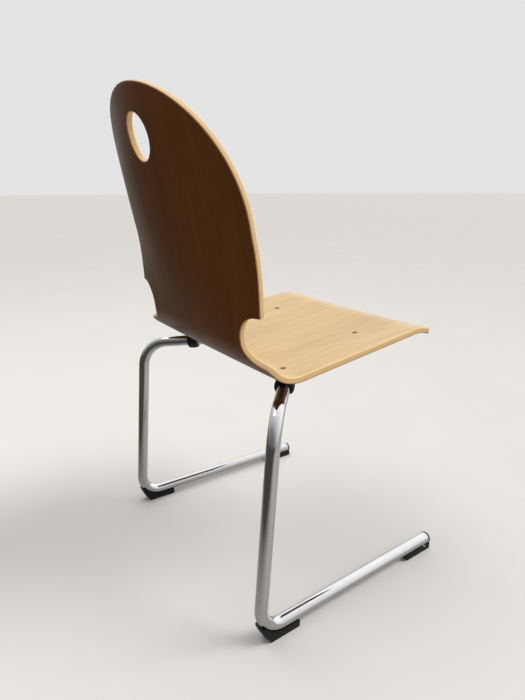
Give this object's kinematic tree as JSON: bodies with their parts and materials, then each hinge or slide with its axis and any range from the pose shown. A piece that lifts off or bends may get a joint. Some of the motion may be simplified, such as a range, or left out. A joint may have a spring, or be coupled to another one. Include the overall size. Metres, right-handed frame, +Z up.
{
  "type": "stacking chair",
  "caption": "Stacking chair with a one-piece moulded plywood seat and back with a round hand hole, on a chromed tube frame with C-shaped sides and long floor runners.",
  "frame": {"origin": "centre of the chair's footprint, on the floor", "axes": "+Z up, -Y towards the front edge of the seat, +Y towards the back, +X to the sitter's left"},
  "size_m": [0.523, 0.497, 0.867],
  "materials": {
    "beech_ply": "clear satin lacquer on the front, dark brown stained satin on the back and underside",
    "chrome_tube": "bright chrome plate",
    "black_plastic": "matte moulded nylon",
    "screw_steel": "dark zinc plate",
    "zinc_steel": "bright zinc plate"
  },
  "bodies": {
    "root": {"seat_shell": "beech_ply", "side_tube_left": "chrome_tube", "side_tube_right": "chrome_tube", "front_cross_tube": "chrome_tube", "rear_cross_tube": "chrome_tube", "rear_saddle_left": "black_plastic", "rear_saddle_right": "black_plastic", "front_saddle_left": "black_plastic", "front_saddle_right": "black_plastic", "rear_screw_left": "screw_steel", "rear_screw_right": "screw_steel", "front_screw_left": "screw_steel", "front_screw_right": "screw_steel", "rear_rivet_nut_left": "zinc_steel", "rear_rivet_nut_right": "zinc_steel", "front_rivet_nut_left": "zinc_steel", "front_rivet_nut_right": "zinc_steel", "arm_plug_left": "black_plastic", "arm_plug_right": "black_plastic", "rear_glide_left": "black_plastic", "rear_glide_right": "black_plastic", "rear_glide_peg_left": "zinc_steel", "rear_glide_peg_right": "zinc_steel", "front_glide_left": "black_plastic", "front_glide_right": "black_plastic", "front_glide_pin_left": "zinc_steel", "front_glide_pin_right": "zinc_steel"}
  },
  "joints": []
}
